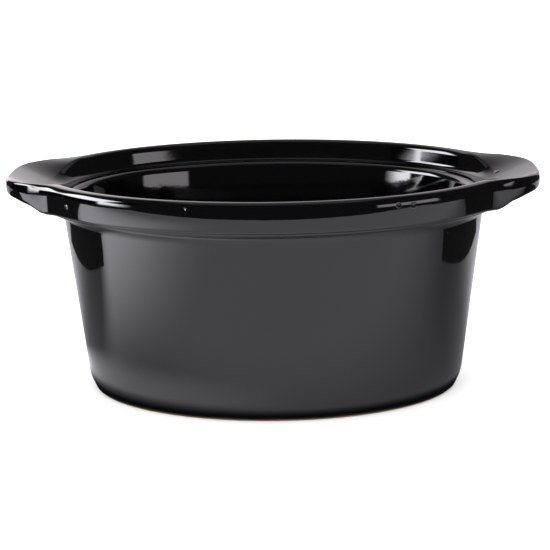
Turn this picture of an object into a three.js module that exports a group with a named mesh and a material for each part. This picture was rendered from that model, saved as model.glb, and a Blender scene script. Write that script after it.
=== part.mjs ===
// The lift-out oval pot of a slow cooker: a stoneware body cast and fired in one piece, the
// glaze that coats it inside and out, and the patch of glaze inside its unglazed foot ring.
// Millimetres, +Z up. The pot stands on Z = 0, centred on the Z axis, with its length along X.
//
// Every level of the pot is an oval. An oval is named by its half width across the pot (Y),
// and its half length (X) is longer by LENGTHENING, so the wall keeps one thickness all round.
// The two lugs are the collar's top edge drawn out past that oval at both ends.
import * as THREE from 'three';

// Ovals and levels of the whole pot
const HEIGHT = 148;
const LENGTHENING = 28;
const COLLAR_HALF_WIDTH = 130.5;
const COLLAR_BULGE = 0.7;
const COLLAR_DEPTH = 21.6;
const CREST_INNER_HALF_WIDTH = 121.6;
const CREST_INNER_ROUND = 4;
const CREST_OUTER_ROUND = 4.6;
const COLLAR_EDGE_ROUND = 2.6;

// A ring under the collar, set back from its face
const RING_DEPTH = 2;
const RING_SET_BACK = [3.8, 4.8];
const RING_ROUND = 0.9;

// The seat that the lid rests on, sunk inside the collar
const SEAT_DEPTH = 14;
const SEAT_HALF_WIDTH = 119.5;
const SEAT_CORNER_ROUND = 3;
const MOUTH_HALF_WIDTH = 106.6;
const MOUTH_ROUND = 4;

// The cavity and the tapered outer wall
const FLOOR_THICKNESS = 9;
const FLOOR_HALF_WIDTH = 92.5;
const FLOOR_CORNER_ROUND = 15;
const WALL_TOP_HALF_WIDTH = 113.8;
const WALL_TOP_ROUND = 8.5;
const WALL_FOOT_HALF_WIDTH = 99.4;
const WALL_FOOT_HEIGHT = 9;
const WALL_FOOT_ROUND = 4.5;

// The foot: the glaze stops at the dry line, and the ring below it is bare clay
const DRY_LINE_HALF_WIDTH = 95.8;
const DRY_LINE_HEIGHT = 1.2;
const FOOT_OUTER_HALF_WIDTH = 94.9;
const FOOT_EDGE_ROUND = 0.6;
const FOOT_INNER_HALF_WIDTH = 86;
const RECESS_HALF_WIDTH = 83.5;
const RECESS_DEPTH = 2.6;
const PATCH_HALF_WIDTH = 81;

// The lugs. At a lug the ring becomes a step up to a flange, which thins a little more towards
// the tip. Inside a lug the steep wall of the lid seat is only LUG_WALL_RISE high, and the rest
// of the way up to the rim is one long slope. The wall regains its height between the two sines
// in DIP_FADE of the angle from the pot's length.
const LUG_TIP = 176.4;
const LUG_HALF_WIDTH = 65;
const LUG_SQUARENESS = 3.7;
const LUG_BLEND = 24;
const LUG_OUTER_ROUND = 2.2;
const LUG_SEAT_HALF_WIDTH = 116.5;
const LUG_WALL_HALF_WIDTH = 124;
const LUG_WALL_RISE = 2.5;
const DIP_FADE = [0.12, 0.4];
const LUG_ROUND = 4;
const STEP_RISE = 3.7;
const STEP_REACHES = [4.5, 11];
const TIP_RISE = 3.4;
const TIP_REACHES = [9, 19.5];

const GLAZE_THICKNESS = 0.6;

// Resolution
const COLUMNS = 64;
const END_CROWDING = 0.2;

// Half length of the oval of a half width. Ovals near the middle of the floor shrink to a point.
function halfLength(halfWidth) {
  return halfWidth * (1 + LENGTHENING / Math.max(halfWidth, PATCH_HALF_WIDTH));
}

// Distance from the axis to the oval of a half width, in the direction of an angle.
function ovalRadius(halfWidth, angle) {
  if (halfWidth === 0) return 0;
  return 1 / Math.hypot(Math.cos(angle) / halfLength(halfWidth), Math.sin(angle) / halfWidth);
}

// Distance from the axis to the outline of the two lugs: a long rounded box across the collar.
function lugRadius(angle) {
  const along = Math.abs(Math.cos(angle)) / LUG_TIP;
  const across = Math.abs(Math.sin(angle)) / LUG_HALF_WIDTH;
  return (along ** LUG_SQUARENESS + across ** LUG_SQUARENESS) ** (-1 / LUG_SQUARENESS);
}

// How far the rim is drawn out past the collar: most at the lugs' tips, nothing at the sides.
function lugReach(angle) {
  const collar = ovalRadius(COLLAR_HALF_WIDTH, angle);
  return (collar ** LUG_BLEND + lugRadius(angle) ** LUG_BLEND) ** (1 / LUG_BLEND) - collar;
}

// A corner of the section in one vertical plane through the axis. It is cut back by `cut`
// along both of its sides and rounded with an arc of `steps` straight pieces.
function corner(radius, z, cut = 0, steps = 0) {
  return { point: new THREE.Vector2(radius, z), cut, steps };
}

function roundedCorner(before, at, after) {
  if (at.steps === 0) return [at.point.clone()];
  const inward = at.point.clone().sub(before.point).normalize();
  const outward = after.point.clone().sub(at.point).normalize();
  const start = at.point.clone().addScaledVector(inward, -at.cut);
  const end = at.point.clone().addScaledVector(outward, at.cut);
  const weight = Math.sqrt((1 + inward.dot(outward)) / 2);
  const points = [];
  for (let i = 0; i <= at.steps; i += 1) {
    const t = i / at.steps;
    const shares = [(1 - t) ** 2, 2 * weight * t * (1 - t), t ** 2];
    const total = shares[0] + shares[1] + shares[2];
    points.push(
      new THREE.Vector2()
        .addScaledVector(start, shares[0] / total)
        .addScaledVector(at.point, shares[1] / total)
        .addScaledVector(end, shares[2] / total),
    );
  }
  return points;
}

function roundCorners(corners) {
  return corners.flatMap((at, i) => {
    const before = corners[Math.max(i - 1, 0)];
    const after = corners[Math.min(i + 1, corners.length - 1)];
    return roundedCorner(before, at, after);
  });
}

// The glazed surface in the plane at an angle, from the middle of the cavity floor up the
// inside, over the rim or lug, and down the outside to the dry line above the foot.
function glazedSection(angle) {
  const oval = (halfWidth) => ovalRadius(halfWidth, angle);
  const reach = lugReach(angle);
  const lug = THREE.MathUtils.smoothstep(reach, ...STEP_REACHES);
  const tip = THREE.MathUtils.smoothstep(reach, ...TIP_REACHES);
  const collarFace = oval(COLLAR_HALF_WIDTH);
  const seatZ = HEIGHT - SEAT_DEPTH;
  const collarBottom = HEIGHT - COLLAR_DEPTH;
  const faceBottom = collarBottom + RING_DEPTH + STEP_RISE * lug + TIP_RISE * tip;
  const dip = 1 - THREE.MathUtils.smoothstep(Math.abs(Math.sin(angle)), ...DIP_FADE);
  const outerRound = THREE.MathUtils.lerp(CREST_OUTER_ROUND, LUG_OUTER_ROUND, lug);
  const seatEdge = oval(THREE.MathUtils.lerp(SEAT_HALF_WIDTH, LUG_SEAT_HALF_WIDTH, dip));
  const wallEdge = oval(THREE.MathUtils.lerp(CREST_INNER_HALF_WIDTH, LUG_WALL_HALF_WIDTH, dip));
  const wallTop = THREE.MathUtils.lerp(HEIGHT, seatZ + LUG_WALL_RISE, dip);
  const edgeRound = THREE.MathUtils.lerp(COLLAR_EDGE_ROUND, LUG_ROUND, lug);
  const ringTop = THREE.MathUtils.lerp(collarFace - RING_SET_BACK[0], collarFace, lug);
  const ringBottom = THREE.MathUtils.lerp(collarFace - RING_SET_BACK[1], collarFace, lug);
  return roundCorners([
    corner(0, FLOOR_THICKNESS),
    corner(oval(FLOOR_HALF_WIDTH), FLOOR_THICKNESS, FLOOR_CORNER_ROUND, 3),
    corner(oval(MOUTH_HALF_WIDTH), seatZ, MOUTH_ROUND, 2),
    corner(seatEdge, seatZ, SEAT_CORNER_ROUND, 1),
    corner(wallEdge, wallTop, CREST_INNER_ROUND, 2),
    corner(collarFace + reach, HEIGHT, outerRound, 2),
    corner(collarFace + reach + COLLAR_BULGE, (HEIGHT + faceBottom) / 2),
    corner(collarFace + reach, faceBottom, edgeRound, 2),
    corner(ringTop, faceBottom, RING_ROUND, 1),
    corner(ringBottom, collarBottom, RING_ROUND, 1),
    corner(oval(WALL_TOP_HALF_WIDTH), collarBottom, WALL_TOP_ROUND, 2),
    corner(oval(WALL_FOOT_HALF_WIDTH), WALL_FOOT_HEIGHT, WALL_FOOT_ROUND, 2),
    corner(oval(DRY_LINE_HALF_WIDTH), DRY_LINE_HEIGHT),
  ]);
}

// A section moved sideways into the clay, on the right of its direction of travel.
function inset(points, depth) {
  return points.map((point, i) => {
    const before = points[Math.max(i - 1, 0)];
    const after = points[Math.min(i + 1, points.length - 1)];
    const normalTo = (from, to) => {
      const along = to.clone().sub(from).normalize();
      return new THREE.Vector2(along.y, -along.x);
    };
    const first = i === 0 ? normalTo(point, after) : normalTo(before, point);
    const second = i === points.length - 1 ? first : normalTo(point, after);
    const middle = first.clone().add(second).normalize();
    return point.clone().addScaledVector(middle, depth / middle.dot(first));
  });
}

function claySurface(angle) {
  return inset(glazedSection(angle), GLAZE_THICKNESS);
}

// The bare clay below the dry line: the foot ring and the shallow recess inside it.
function footSection(angle) {
  const oval = (halfWidth) => ovalRadius(halfWidth, angle);
  return [
    new THREE.Vector2(oval(FOOT_OUTER_HALF_WIDTH), FOOT_EDGE_ROUND),
    new THREE.Vector2(oval(FOOT_OUTER_HALF_WIDTH - FOOT_EDGE_ROUND), 0),
    new THREE.Vector2(oval(FOOT_INNER_HALF_WIDTH), 0),
    new THREE.Vector2(oval(RECESS_HALF_WIDTH), RECESS_DEPTH),
    new THREE.Vector2(oval(PATCH_HALF_WIDTH), RECESS_DEPTH),
    new THREE.Vector2(0, RECESS_DEPTH),
  ];
}

function patchSection(angle) {
  const edge = ovalRadius(PATCH_HALF_WIDTH, angle);
  return [
    new THREE.Vector2(0, RECESS_DEPTH),
    new THREE.Vector2(edge, RECESS_DEPTH),
    new THREE.Vector2(edge, RECESS_DEPTH - GLAZE_THICKNESS),
    new THREE.Vector2(0, RECESS_DEPTH - GLAZE_THICKNESS),
  ];
}

// A turned shape whose section changes with the angle: it is lathed round, and then each
// column of its points is moved to the section at that column's own angle. A section runs
// from the top down, and the lathe wants it from the bottom up to face outwards.
function ovalTurning(topDownSection) {
  const section = (angle) => topDownSection(angle).reverse();
  const geometry = new THREE.LatheGeometry(section(0), COLUMNS);
  geometry.rotateX(Math.PI / 2);
  const position = geometry.getAttribute('position');
  const rows = section(0).length;
  for (let column = 0; column <= COLUMNS; column += 1) {
    const even = (2 * Math.PI * (column % COLUMNS)) / COLUMNS;
    const angle = even - END_CROWDING * Math.sin(2 * even);
    const points = section(angle);
    for (let row = 0; row < rows; row += 1) {
      const { x: radius, y: z } = points[row];
      const index = column * rows + row;
      position.setXYZ(index, radius * Math.cos(angle), radius * Math.sin(angle), z);
    }
  }
  splitShorterWay(geometry);
  geometry.computeVertexNormals();
  return geometry;
}

// The lathe makes facets of two triangles. Each facet is split again along its shorter
// diagonal, so that two surfaces that touch are split alike.
function splitShorterWay(geometry) {
  const index = geometry.getIndex();
  const position = geometry.getAttribute('position');
  const at = (i) => new THREE.Vector3().fromBufferAttribute(position, i);
  for (let i = 0; i < index.count; i += 6) {
    const [a, b, d, c] = [0, 1, 2, 3].map((k) => index.getX(i + k));
    if (at(a).distanceToSquared(at(c)) >= at(b).distanceToSquared(at(d))) continue;
    index.array.set([a, b, c, c, d, a], i);
  }
}

function piece(name, geometry, color, roughness) {
  const material = new THREE.MeshStandardMaterial({ color, roughness, metalness: 0 });
  const mesh = new THREE.Mesh(geometry, material);
  mesh.name = name;
  return mesh;
}

// The fired body: collar, seat, wall, floor, lugs and foot are one casting.
function stonewareBody() {
  const section = (angle) => [...claySurface(angle), ...footSection(angle)];
  return piece('stoneware_body', ovalTurning(section), 0x8a7462, 0.85);
}

// The black glaze over everything above the dry line.
function glazeCoat() {
  const section = (angle) => [...glazedSection(angle), ...claySurface(angle).reverse()];
  return piece('glaze_coat', ovalTurning(section), 0x0d0d0e, 0.08);
}

// The black glaze inside the foot ring.
function undersideGlaze() {
  return piece('underside_glaze', ovalTurning(patchSection), 0x0d0d0e, 0.15);
}

const pot = new THREE.Group();
pot.add(stonewareBody(), glazeCoat(), undersideGlaze());

export default pot;
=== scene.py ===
"""The lift-out stoneware pot of a slow cooker: black glazed, standing on its bare foot."""

import math
from collections import namedtuple

import bpy
from mathutils import Matrix, Vector


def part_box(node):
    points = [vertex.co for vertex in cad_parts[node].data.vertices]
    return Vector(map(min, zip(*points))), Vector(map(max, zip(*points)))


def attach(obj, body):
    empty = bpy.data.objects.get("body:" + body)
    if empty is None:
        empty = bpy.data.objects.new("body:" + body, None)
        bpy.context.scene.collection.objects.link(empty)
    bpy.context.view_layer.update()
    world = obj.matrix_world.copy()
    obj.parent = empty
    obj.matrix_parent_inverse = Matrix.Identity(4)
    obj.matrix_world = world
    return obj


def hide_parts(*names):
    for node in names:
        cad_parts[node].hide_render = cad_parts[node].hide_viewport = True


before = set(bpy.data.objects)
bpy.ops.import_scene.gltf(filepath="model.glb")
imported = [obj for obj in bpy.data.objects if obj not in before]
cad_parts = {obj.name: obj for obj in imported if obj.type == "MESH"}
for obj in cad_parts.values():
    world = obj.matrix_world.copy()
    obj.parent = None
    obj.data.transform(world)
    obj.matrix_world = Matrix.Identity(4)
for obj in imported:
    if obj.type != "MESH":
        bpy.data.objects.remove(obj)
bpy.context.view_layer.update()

MM = 0.001

# The pot's ovals. Each is named by its half width across the pot; its half length is longer by
# LENGTHENING. The two lugs are the collar's top edge drawn out past that oval.
BOX_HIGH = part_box("glaze_coat")[1]
HEIGHT = BOX_HIGH.z
LENGTHENING = 28 * MM
COLLAR_BULGE = 0.7 * MM
COLLAR_BULGE_ROUND = 4 * MM
COLLAR_HALF_WIDTH = BOX_HIGH.y - COLLAR_BULGE
COLLAR_DEPTH = 21.6 * MM
CREST_INNER_HALF_WIDTH = 121.6 * MM
CREST_INNER_ROUND = 4 * MM
CREST_OUTER_ROUND = 4.6 * MM
COLLAR_EDGE_ROUND = 2.6 * MM

# A ring under the collar, set back from its face
RING_DEPTH = 2 * MM
RING_SET_BACK = (3.8 * MM, 4.8 * MM)
RING_ROUND = 0.9 * MM

# The seat for the lid, sunk inside the collar, and the mouth of the cavity
SEAT_DEPTH = 14 * MM
SEAT_HALF_WIDTH = 119.5 * MM
SEAT_CORNER_ROUND = 3 * MM
MOUTH_HALF_WIDTH = 106.6 * MM
MOUTH_ROUND = 4 * MM

# The cavity and the tapered outer wall
FLOOR_THICKNESS = 9 * MM
FLOOR_HALF_WIDTH = 92.5 * MM
FLOOR_CORNER_ROUND = 15 * MM
WALL_TOP_HALF_WIDTH = 113.8 * MM
WALL_TOP_ROUND = 8.5 * MM
WALL_FOOT_HALF_WIDTH = 99.4 * MM
WALL_FOOT_HEIGHT = 9 * MM
WALL_FOOT_ROUND = 4.5 * MM

# The foot: glaze stops at the dry line, and the ring below it is bare
DRY_LINE_HALF_WIDTH = 95.8 * MM
DRY_LINE_HEIGHT = 1.2 * MM
FOOT_OUTER_HALF_WIDTH = 94.9 * MM
FOOT_EDGE_ROUND = 0.6 * MM
FOOT_INNER_HALF_WIDTH = 86 * MM
RECESS_HALF_WIDTH = 83.5 * MM
RECESS_DEPTH = 2.6 * MM
PATCH_HALF_WIDTH = 81 * MM

# The lugs: their outline, their edges, and the recess wall, which is low at a lug and reaches its
# full height over these sines of the angle round the pot
LUG_TIP = 176.4 * MM
LUG_HALF_WIDTH = 65 * MM
LUG_SQUARENESS = 3.7
LUG_BLEND = 24
LUG_OUTER_ROUND = 2.2 * MM
LUG_BULGE_ROUND = 1.2 * MM
LUG_ROUND = 4 * MM
LUG_SEAT_HALF_WIDTH = 116.5 * MM
LUG_WALL_HALF_WIDTH = 124 * MM
LUG_WALL_RISE = 2.5 * MM
DIP_FADE = (0.12, 0.4)

# The flange under a lug, which rises in a step and then thins, each over a range of the reach
STEP_RISE = 3.7 * MM
STEP_REACHES = (4.5 * MM, 11 * MM)
TIP_RISE = 3.4 * MM
TIP_REACHES = (9 * MM, 19.5 * MM)

GLAZE_THICKNESS = 0.6 * MM

# How finely a piece is turned: columns round it, crowded towards its narrow ends, and the steps
# of each rounded corner
COLUMNS = 240
END_CROWDING = 0.2
SHARP = (0, 0)
WIDE_ARC, ARC, EDGE_ARC, RING_ARC = 10, 8, 6, 4
WELD_DISTANCE = 0.001 * MM
SHARP_EDGE = math.radians(40)


# ---------------------------------------------------------------- camera

def look_from(azimuth, elevation, distance, aim, lens, roll):
    """A camera that looks at a point from an angle round the pot and above the table."""
    back = Vector(
        (
            math.sin(azimuth) * math.cos(elevation),
            -math.cos(azimuth) * math.cos(elevation),
            math.sin(elevation),
        )
    )
    data = bpy.data.cameras.new("camera")
    data.lens = lens
    camera = bpy.data.objects.new("camera", data)
    bpy.context.collection.objects.link(camera)
    turn = back.to_track_quat("Z", "Y") @ Matrix.Rotation(roll, 3, "Z").to_quaternion()
    camera.rotation_mode = "QUATERNION"
    camera.rotation_quaternion = turn
    camera.location = aim + back * distance
    bpy.context.scene.camera = camera


look_from(
    azimuth=0.03,
    elevation=0.228,
    distance=1.2,
    aim=Vector((0.0005, 0, 0.0738)),
    lens=115.2,
    roll=-0.016,
)


# ---------------------------------------------------------------- the pot's section

def oval_radius(half_width, angle):
    """Distance from the pot's axis to the oval of a half width, in the direction of an angle."""
    along = math.cos(angle) / (half_width + LENGTHENING)
    across = math.sin(angle) / half_width
    return 1 / math.hypot(along, across)


def lug_radius(angle):
    """Distance from the axis to the outline of the two lugs."""
    along = abs(math.cos(angle)) / LUG_TIP
    across = abs(math.sin(angle)) / LUG_HALF_WIDTH
    return (along**LUG_SQUARENESS + across**LUG_SQUARENESS) ** (-1 / LUG_SQUARENESS)


def lug_reach(angle):
    """How far the rim is drawn out past the collar: most at a lug's tip, nothing at the sides."""
    collar = oval_radius(COLLAR_HALF_WIDTH, angle)
    return (collar**LUG_BLEND + lug_radius(angle) ** LUG_BLEND) ** (1 / LUG_BLEND) - collar


def mix(low, high, share):
    return low + (high - low) * share


def eased(value, start, end):
    share = min(max((value - start) / (end - start), 0), 1)
    return share * share * (3 - 2 * share)


def round_corners(corners):
    """Each corner (radius, z, cut, steps) is cut back along its sides and rounded by an arc."""
    points = []
    for i, (radius, z, cut, steps) in enumerate(corners):
        at = Vector((radius, z))
        if steps == 0:
            points.append(at)
            continue
        arrive = (at - Vector(corners[i - 1][:2])).normalized()
        leave = (Vector(corners[i + 1][:2]) - at).normalized()
        start, end = at - arrive * cut, at + leave * cut
        weight = math.sqrt((1 + arrive.dot(leave)) / 2)
        for step in range(steps + 1):
            t = step / steps
            first, middle, last = (1 - t) ** 2, 2 * weight * t * (1 - t), t**2
            points.append((start * first + at * middle + end * last) / (first + middle + last))
    return points


def glazed_section(angle):
    """The glazed surface at an angle: from the floor's middle, over the rim, to the dry line."""
    def oval(half_width):
        return oval_radius(half_width, angle)

    reach = lug_reach(angle)
    lug = eased(reach, *STEP_REACHES)
    tip = eased(reach, *TIP_REACHES)
    face = oval(COLLAR_HALF_WIDTH)
    seat = HEIGHT - SEAT_DEPTH
    collar_bottom = HEIGHT - COLLAR_DEPTH
    face_bottom = collar_bottom + RING_DEPTH + STEP_RISE * lug + TIP_RISE * tip
    dip = 1 - eased(abs(math.sin(angle)), *DIP_FADE)
    outer_round = mix(CREST_OUTER_ROUND, LUG_OUTER_ROUND, lug)
    seat_edge = oval(mix(SEAT_HALF_WIDTH, LUG_SEAT_HALF_WIDTH, dip))
    wall_edge = oval(mix(CREST_INNER_HALF_WIDTH, LUG_WALL_HALF_WIDTH, dip))
    wall_top = mix(HEIGHT, seat + LUG_WALL_RISE, dip)
    bulge_round = mix(COLLAR_BULGE_ROUND, LUG_BULGE_ROUND, lug)
    edge_round = mix(COLLAR_EDGE_ROUND, LUG_ROUND, lug)
    ring_top = mix(face - RING_SET_BACK[0], face, lug)
    ring_bottom = mix(face - RING_SET_BACK[1], face, lug)
    return round_corners(
        [
            (0, FLOOR_THICKNESS, *SHARP),
            (oval(FLOOR_HALF_WIDTH), FLOOR_THICKNESS, FLOOR_CORNER_ROUND, WIDE_ARC),
            (oval(MOUTH_HALF_WIDTH), seat, MOUTH_ROUND, ARC),
            (seat_edge, seat, SEAT_CORNER_ROUND, ARC),
            (wall_edge, wall_top, CREST_INNER_ROUND, ARC),
            (face + reach, HEIGHT, outer_round, ARC),
            (face + reach + COLLAR_BULGE, (HEIGHT + face_bottom) / 2, bulge_round, ARC),
            (face + reach, face_bottom, edge_round, EDGE_ARC),
            (ring_top, face_bottom, RING_ROUND, RING_ARC),
            (ring_bottom, collar_bottom, RING_ROUND, RING_ARC),
            (oval(WALL_TOP_HALF_WIDTH), collar_bottom, WALL_TOP_ROUND, ARC),
            (oval(WALL_FOOT_HALF_WIDTH), WALL_FOOT_HEIGHT, WALL_FOOT_ROUND, ARC),
            (oval(DRY_LINE_HALF_WIDTH), DRY_LINE_HEIGHT, *SHARP),
        ]
    )


def inset(points, depth):
    """A section moved into the clay, on the right of its direction of travel."""
    def normal(start, end):
        along = (end - start).normalized()
        return Vector((along.y, -along.x))

    moved = []
    last = len(points) - 1
    for i, point in enumerate(points):
        first = normal(points[i - 1], point) if i else normal(point, points[1])
        second = normal(point, points[i + 1]) if i < last else first
        middle = (first + second).normalized()
        moved.append(point + middle * (depth / middle.dot(first)))
    return moved


def clay_surface(angle):
    return inset(glazed_section(angle), GLAZE_THICKNESS)


def foot_section(angle):
    """The bare clay below the dry line: the foot ring and the recess inside it."""
    ring = [
        (FOOT_OUTER_HALF_WIDTH, FOOT_EDGE_ROUND),
        (FOOT_OUTER_HALF_WIDTH - FOOT_EDGE_ROUND, 0),
        (FOOT_INNER_HALF_WIDTH, 0),
        (RECESS_HALF_WIDTH, RECESS_DEPTH),
        (PATCH_HALF_WIDTH, RECESS_DEPTH),
    ]
    points = [Vector((oval_radius(half_width, angle), z)) for half_width, z in ring]
    return points + [Vector((0, RECESS_DEPTH))]


def patch_section(angle):
    """The thin patch of glaze on the roof of the recess."""
    edge = oval_radius(PATCH_HALF_WIDTH, angle)
    low = RECESS_DEPTH - GLAZE_THICKNESS
    outline = [(0, RECESS_DEPTH), (edge, RECESS_DEPTH), (edge, low), (0, low)]
    return [Vector(point) for point in outline]


def turned(name, section):
    """A ring of clay pulled up into a tube, then thrown to the section at each angle."""
    rows = len(section(0))
    bpy.ops.object.select_all(action="DESELECT")
    bpy.ops.mesh.primitive_circle_add(vertices=COLUMNS, radius=1)
    piece = bpy.context.object
    piece.name = piece.data.name = name
    bpy.ops.object.mode_set(mode="EDIT")
    bpy.ops.mesh.extrude_repeat(steps=rows - 1, offset=(0, 0, -1))
    bpy.ops.object.mode_set(mode="OBJECT")
    columns = {}
    for vertex in piece.data.vertices:
        x, y, z = vertex.co
        even = round(math.atan2(y, x) / math.tau * COLUMNS) % COLUMNS
        if even not in columns:
            turn = even / COLUMNS * math.tau
            angle = turn - END_CROWDING * math.sin(2 * turn)
            columns[even] = (angle, section(angle))
        angle, points = columns[even]
        radius, height = points[round(-z)]
        vertex.co = (radius * math.cos(angle), radius * math.sin(angle), height)
    bpy.ops.object.mode_set(mode="EDIT")
    bpy.ops.mesh.select_all(action="SELECT")
    bpy.ops.mesh.remove_doubles(threshold=WELD_DISTANCE)
    bpy.ops.mesh.normals_make_consistent(inside=False)
    bpy.ops.object.mode_set(mode="OBJECT")
    bpy.ops.object.shade_smooth_by_angle(angle=SHARP_EDGE)
    return piece


# ---------------------------------------------------------------- materials

class Wire:
    """One output of a shader node. Sums of wires and numbers add their Math nodes."""

    def __init__(self, tree, output=None):
        self.tree = tree
        self.output = output

    def node(self, kind, settings=None, sockets=None, out=0):
        """Adds a node from its type, its settings, and the values or links of its sockets."""
        made = self.tree.nodes.new(kind)
        for name, value in (settings or {}).items():
            setattr(made, name, value)
        for name, value in (sockets or {}).items():
            if isinstance(value, Wire):
                self.tree.links.new(value.output, made.inputs[name])
            else:
                made.inputs[name].default_value = value
        return Wire(self.tree, made.outputs[out] if made.outputs else None)

    def place(self):
        """Where each point lies on the piece, in metres."""
        return self.node("ShaderNodeTexCoord", out="Object")

    def axis(self, letter):
        return self.node("ShaderNodeSeparateXYZ", {}, {"Vector": self}, out=letter)

    def math(self, operation, *values):
        return self.node("ShaderNodeMath", {"operation": operation}, dict(enumerate(values)))

    def __add__(self, other):
        return self.math("ADD", self, other)

    def __radd__(self, other):
        return self.math("ADD", other, self)

    def __sub__(self, other):
        return self.math("SUBTRACT", self, other)

    def __rsub__(self, other):
        return self.math("SUBTRACT", other, self)

    def __mul__(self, other):
        return self.math("MULTIPLY", self, other)

    def __rmul__(self, other):
        return self.math("MULTIPLY", other, self)

    def between(self, low, high):
        """0 below the low value, 1 above the high one, and smooth between."""
        sockets = {"Value": self, "From Min": low, "From Max": high}
        return self.node("ShaderNodeMapRange", {"interpolation_type": "SMOOTHSTEP"}, sockets)

    def noise(self, scale, detail=2.0, roughness=0.5):
        sockets = {"Vector": self, "Scale": scale, "Detail": detail, "Roughness": roughness}
        return self.node("ShaderNodeTexNoise", {}, sockets)

    def color_mix(self, low, high):
        """The low colour where this is 0, the high one where it is 1. Either may be a wire."""
        ends = [end if isinstance(end, Wire) else (*end, 1) for end in (low, high)]
        sockets = {0: self, 6: ends[0], 7: ends[1]}
        return self.node("ShaderNodeMix", {"data_type": "RGBA"}, sockets, out=2)

    def bump(self, distance):
        return self.node("ShaderNodeBump", {}, {"Height": self, "Distance": distance})


def new_material(name):
    """A material with an empty tree, and the wire that its nodes are added from."""
    material = bpy.data.materials.new(name)
    material.use_nodes = True
    material.node_tree.nodes.clear()
    return material, Wire(material.node_tree)


def finish_material(start, **sockets):
    named = {name.replace("_", " "): value for name, value in sockets.items()}
    shader = start.node("ShaderNodeBsdfPrincipled", {}, named)
    start.node("ShaderNodeOutputMaterial", {}, {"Surface": shader})


# Beads and pits fired into the glaze: where each one is, and how far it spreads, in millimetres
GLAZE_BEADS = (((153, 26, 139), 2.4), ((-129, -77, 137), 2))
GLAZE_PITS = (((80, -113, 143), 2), ((89, -108, 142), 2.4), ((-50, -124, 144), 1.2))
MARK_DEPTH = 3
PINHOLE_DEPTH = 0.25

GLAZE_BLACK = (0.0008, 0.0008, 0.001)
THIN_GLAZE_BROWN = (0.02, 0.012, 0.008)
DARK_CLAY = (0.10, 0.062, 0.042)
PALE_CLAY = (0.19, 0.125, 0.085)
IRON_SPECK = (0.07, 0.04, 0.025)
PATCH_BLACK = (0.008, 0.008, 0.0085)
PATCH_BROWN = (0.022, 0.015, 0.012)


def spot(place, centre, reach):
    """1 at a centre, falling to 0 at its reach."""
    sockets = {0: place, 1: [part * MM for part in centre]}
    far = place.node("ShaderNodeVectorMath", {"operation": "DISTANCE"}, sockets, out="Value")
    return 1 - far.between(0, reach * MM)


def cells(place, scale):
    """Distance to the nearest of many scattered points."""
    sockets = {"Vector": place, "Scale": scale}
    return place.node("ShaderNodeTexVoronoi", {}, sockets, out="Distance")


def black_glaze():
    """Black gloss glaze: slow waves, pinholes, beads, and brown where it thins at the foot."""
    material, start = new_material("black_glaze")
    place = start.place()
    waves = place.noise(26, detail=1.5) * 0.4 + place.noise(110) * 0.13
    pinhole = 1 - cells(place, 55).between(0.02, 0.05)
    thin = 1 - (place.axis("Z") + place.noise(60) * (2 * MM)).between(2 * MM, 4 * MM)
    beads = sum(spot(place, centre, reach) for centre, reach in GLAZE_BEADS)
    pits = sum(spot(place, centre, reach) for centre, reach in GLAZE_PITS)
    relief = waves - pinhole * PINHOLE_DEPTH + beads * MARK_DEPTH - pits * MARK_DEPTH
    finish_material(
        start,
        Base_Color=thin.color_mix(GLAZE_BLACK, THIN_GLAZE_BROWN),
        Roughness=0.03 + place.noise(14, detail=3) * 0.03 + pinhole * 0.2,
        IOR=1.55,
        Normal=relief.bump(distance=0.2 * MM),
    )
    return material


def bare_stoneware():
    """Fired clay: buff brown, matt, with fine grit and darker iron specks."""
    material, start = new_material("bare_stoneware")
    place = start.place()
    tone = place.noise(40, detail=4)
    specks = 1 - cells(place, 900).between(0.1, 0.22)
    grit = place.noise(2500, detail=3)
    patchy = tone.color_mix(DARK_CLAY, PALE_CLAY)
    finish_material(
        start,
        Base_Color=(specks * 0.7).color_mix(patchy, IRON_SPECK),
        Roughness=0.78 + grit * 0.15,
        IOR=1.5,
        Normal=(grit * 0.8 + tone * 0.4).bump(distance=0.12 * MM),
    )
    return material


def underside_glaze():
    """The thinner glaze inside the foot ring, with a satin break-up."""
    material, start = new_material("underside_glaze")
    place = start.place()
    tone = place.noise(30, detail=4)
    finish_material(
        start,
        Base_Color=tone.between(0.45, 0.75).color_mix(PATCH_BLACK, PATCH_BROWN),
        Roughness=0.12 + tone * 0.2,
        IOR=1.5,
        Normal=place.noise(70, detail=3).bump(distance=0.3 * MM),
    )
    return material


# ---------------------------------------------------------------- the pieces

def finish_piece(piece, material, node):
    piece.data.materials.clear()
    piece.data.materials.append(material)
    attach(piece, "root")
    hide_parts(node)


finish_piece(
    turned("fired_clay_body", lambda angle: clay_surface(angle) + foot_section(angle)),
    bare_stoneware(),
    "stoneware_body",
)
finish_piece(
    turned("gloss_glaze_coat", lambda angle: glazed_section(angle) + clay_surface(angle)[::-1]),
    black_glaze(),
    "glaze_coat",
)
finish_piece(
    turned("underside_glaze_patch", patch_section),
    underside_glaze(),
    "underside_glaze",
)


# ---------------------------------------------------------------- studio

# A place on a card: across the pot, along from its front to its back, and up
At = namedtuple("At", "across along up")


def glow(name, tint, strength_at):
    """Light given off by a card, as strong at each place as the formula says."""
    material, start = new_material(name)
    place = start.place()
    strength = strength_at(At(*(place.axis(letter) for letter in "XYZ")))
    sockets = {"Color": (*tint, 1), "Strength": strength}
    shader = start.node("ShaderNodeEmission", {}, sockets)
    start.node("ShaderNodeOutputMaterial", {}, {"Surface": shader})
    return material


def matt_white():
    material, start = new_material("floor_white")
    finish_material(start, Base_Color=(0.9, 0.9, 0.9, 1), Roughness=1, Specular_IOR_Level=0)
    return material


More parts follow.
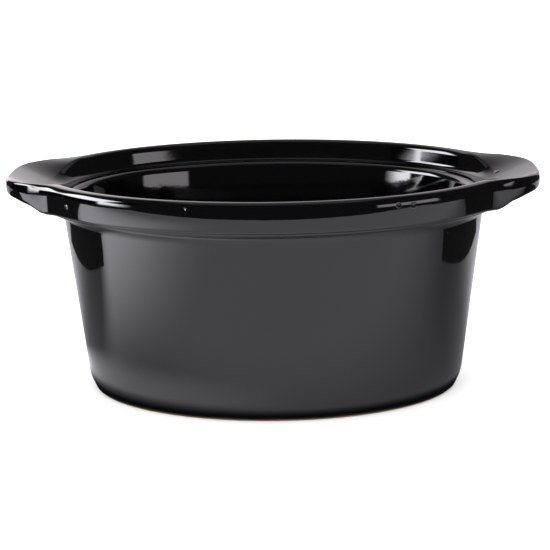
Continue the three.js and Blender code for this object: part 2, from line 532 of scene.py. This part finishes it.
def card(name, corners, material, seen_by):
    """A flat stage piece that only the named kinds of ray see."""
    mesh = bpy.data.meshes.new(name)
    mesh.from_pydata(corners, [], [range(len(corners))])
    mesh.materials.append(material)
    piece = bpy.data.objects.new(name, mesh)
    bpy.context.collection.objects.link(piece)
    for kind in ("camera", "diffuse", "glossy", "transmission", "volume_scatter", "shadow"):
        setattr(piece, f"visible_{kind}", kind in seen_by)


def level(half_x, front, back, z):
    return [(-half_x, front, z), (half_x, front, z), (half_x, back, z), (-half_x, back, z)]


def upright_side(x, front, back, low, high):
    return [(x, front, low), (x, back, low), (x, back, high), (x, front, high)]


def upright_back(y, left, right, low, high):
    return [(left, y, low), (right, y, low), (right, y, high), (left, y, high)]


def inside(value, low, high, soft):
    """1 between two edges, falling softly to 0 at both."""
    return value.between(low, low + soft) * (1 - value.between(high - soft, high))


FLOOR_REACH = 20
FLOOR_EDGES = (FLOOR_REACH, -FLOOR_REACH, FLOOR_REACH, 0)
card("floor", level(*FLOOR_EDGES), matt_white(), ("camera", "diffuse", "shadow"))

# What the gloss glaze mirrors. The table is a glowing card whose light and shade are painted
# in: bright in front, a painted pool of light brightest at its left, and a painted shadow close
# round the foot. It has a dark gap at each side of the pot.
MIRRORED = ("glossy",)
COOL_WHITE = (0.985, 0.985, 1.04)
ROSE_WHITE = (1.03, 0.97, 1.01)
TABLE_HALF_WIDTH = 1.3
TABLE_FRONT = -0.8
TABLE_BACK = 0.9
GAP_HALF_WIDTH = 0.33
GAP_FRONT = -0.03
GAP_BACK = 0.3
TABLE_LEVEL = -0.0005
FOOT_HALF_LENGTH = FOOT_OUTER_HALF_WIDTH + LENGTHENING

# The table's light: what it has everywhere, and what each bright part adds to it
TABLE_GLOW = 0.3
FRONT_GLOW = 0.85
NEAR_LEFT_GLOW = 2.9
BEHIND_GLOW = 0.6
ROUND_FOOT_GLOW = 0.8

# Where the light round the foot changes. 1 is the foot's own oval, and 4 one twice its size.
DARKEST_AT_FOOT = 0.03
FOOT_SHADE = (1.06, 1.3)
ROUND_FOOT_RISE = (1.2, 1.5)
ROUND_FOOT_FALL = (1.6, 2.6)

# The cards that stand or hang round the table, by their places and edges in metres
LEFT_X, LEFT_FRONT, LEFT_BACK, LEFT_LOW, LEFT_HIGH = -1.2, -0.78, 0.4, 0.04, 1.05
RIGHT_X, RIGHT_FRONT, RIGHT_BACK, RIGHT_LOW, RIGHT_HIGH = 1.2, -1.35, -0.36, 0.06, 0.5
OVERHEAD_HALF_WIDTH, OVERHEAD_FRONT, OVERHEAD_BACK, OVERHEAD_Z = 0.8, -0.35, 1.2, 2
BACKDROP_Y, BACKDROP_HALF_WIDTH, BACKDROP_LOW, BACKDROP_HIGH = 1.2, 1.1, 0.05, 2
LEFT_STRENGTH = 15
RIGHT_STRENGTH = 2.9
OVERHEAD_STRENGTH = 0.4
BACKDROP_GLOW = 0.3
BACKDROP_LOW_GLOW = 0.6
BACKDROP_LEFT_GLOW = 1.5


def left_light(at):
    """Its low part stands further forward than its high part, and is soft at its front end."""
    forward = at.along.between(LEFT_FRONT, -0.45) * (1 - at.along.between(-0.32, -0.27))
    low = forward * inside(at.up, LEFT_LOW, 0.4, soft=0.1)
    high = inside(at.along, -0.45, LEFT_BACK, soft=0.15) * inside(at.up, 0.3, LEFT_HIGH, soft=0.1)
    return (low + high) * LEFT_STRENGTH


def right_light(at):
    along = inside(at.along, RIGHT_FRONT, RIGHT_BACK, soft=0.06)
    return along * inside(at.up, RIGHT_LOW, RIGHT_HIGH, soft=0.06) * RIGHT_STRENGTH


def overhead_light(at):
    across = inside(at.across, -OVERHEAD_HALF_WIDTH, OVERHEAD_HALF_WIDTH, soft=0.2)
    return across * inside(at.along, OVERHEAD_FRONT, OVERHEAD_BACK, soft=0.3) * OVERHEAD_STRENGTH


def backdrop_light(at):
    """Brightest low down and at its left."""
    left = 1 - at.across.between(-0.75, 0.05)
    low = 1 - at.up.between(0.8, 1.9)
    return BACKDROP_GLOW + (BACKDROP_LOW_GLOW + left * BACKDROP_LEFT_GLOW) * low


def table_light(at):
    foot_x = at.across * (1 / FOOT_HALF_LENGTH)
    foot_y = at.along * (1 / FOOT_OUTER_HALF_WIDTH)
    from_foot = foot_x * foot_x + foot_y * foot_y
    # Painted shadow: the card's glow is dimmed close round the foot, darkest at the foot's own
    # oval
    painted_foot_shadow = DARKEST_AT_FOOT + from_foot.between(*FOOT_SHADE) * (1 - DARKEST_AT_FOOT)
    # Painted light: the glow is raised in front, in a pool near the left, and behind the pot
    front = 1 - at.along.between(-0.19, 0)
    left = 1 - at.across.between(-0.4, -0.12)
    near_left = left * at.along.between(-0.6, -0.06) * (1 - at.along.between(-0.06, 0))
    behind = at.along.between(0.05, 0.25)
    # A painted ring of light round the foot, on its left side
    left_of_foot = 1 - at.across.between(-0.12, 0.04)
    round_foot = from_foot.between(*ROUND_FOOT_RISE) * (1 - from_foot.between(*ROUND_FOOT_FALL))
    light = TABLE_GLOW + front * FRONT_GLOW + near_left * NEAR_LEFT_GLOW + behind * BEHIND_GLOW
    return (light + round_foot * left_of_foot * ROUND_FOOT_GLOW) * painted_foot_shadow


table_glow = glow("table_glow", COOL_WHITE, table_light)
TABLE_PARTS = {
    "table_front": (TABLE_HALF_WIDTH, TABLE_FRONT, GAP_FRONT),
    "table_middle": (GAP_HALF_WIDTH, GAP_FRONT, GAP_BACK),
    "table_back": (TABLE_HALF_WIDTH, GAP_BACK, TABLE_BACK),
}
for part, (half_width, front, back) in TABLE_PARTS.items():
    card(part, level(half_width, front, back, TABLE_LEVEL), table_glow, MIRRORED)

card(
    "left_softbox",
    upright_side(LEFT_X, LEFT_FRONT, LEFT_BACK, LEFT_LOW, LEFT_HIGH),
    glow("left_light", COOL_WHITE, left_light),
    MIRRORED,
)
card(
    "right_panel",
    upright_side(RIGHT_X, RIGHT_FRONT, RIGHT_BACK, RIGHT_LOW, RIGHT_HIGH),
    glow("right_light", ROSE_WHITE, right_light),
    MIRRORED,
)
card(
    "overhead_softbox",
    level(OVERHEAD_HALF_WIDTH, OVERHEAD_FRONT, OVERHEAD_BACK, OVERHEAD_Z),
    glow("overhead_light", COOL_WHITE, overhead_light),
    MIRRORED,
)
card(
    "backdrop",
    upright_back(
        BACKDROP_Y, -BACKDROP_HALF_WIDTH, BACKDROP_HALF_WIDTH, BACKDROP_LOW, BACKDROP_HIGH
    ),
    glow("backdrop_light", ROSE_WHITE, backdrop_light),
    MIRRORED,
)


def lamp(name, place, width, height, radiance):
    """A soft rectangular lamp over the pot, which the glaze doesn't mirror."""
    data = bpy.data.lights.new(name, "AREA")
    data.shape = "RECTANGLE"
    data.size, data.size_y = width, height
    data.energy = radiance * width * height * math.pi
    made = bpy.data.objects.new(name, data)
    bpy.context.collection.objects.link(made)
    made.location = place
    made.rotation_mode = "QUATERNION"
    made.rotation_quaternion = (-Vector(place)).to_track_quat("-Z", "Y")
    made.visible_camera = False
    made.visible_glossy = False


lamp("ceiling_lamp", place=(-0.3, -0.2, 2.2), width=2.5, height=2.5, radiance=1)

# The world's brightness to the camera, in reflections, and to the floor
WORLD_TO_CAMERA = 1.2
WORLD_IN_REFLECTIONS = 0.055
WORLD_TO_FLOOR = 2.6


def studio_world():
    """White to the camera, an even white sky to the floor, and a dark room in reflections."""
    world = bpy.data.worlds.new("studio")
    bpy.context.scene.world = world
    world.use_nodes = True
    world.node_tree.nodes.clear()
    start = Wire(world.node_tree)
    camera = start.node("ShaderNodeLightPath", out="Is Camera Ray")
    glossy = start.node("ShaderNodeLightPath", out="Is Glossy Ray")
    to_floor = (1 - camera) * (1 - glossy) * WORLD_TO_FLOOR
    strength = camera * WORLD_TO_CAMERA + glossy * WORLD_IN_REFLECTIONS + to_floor
    shader = start.node("ShaderNodeBackground", {}, {"Strength": strength})
    start.node("ShaderNodeOutputWorld", {}, {"Surface": shader})


studio_world()
bpy.context.scene.view_settings.view_transform = "Standard"
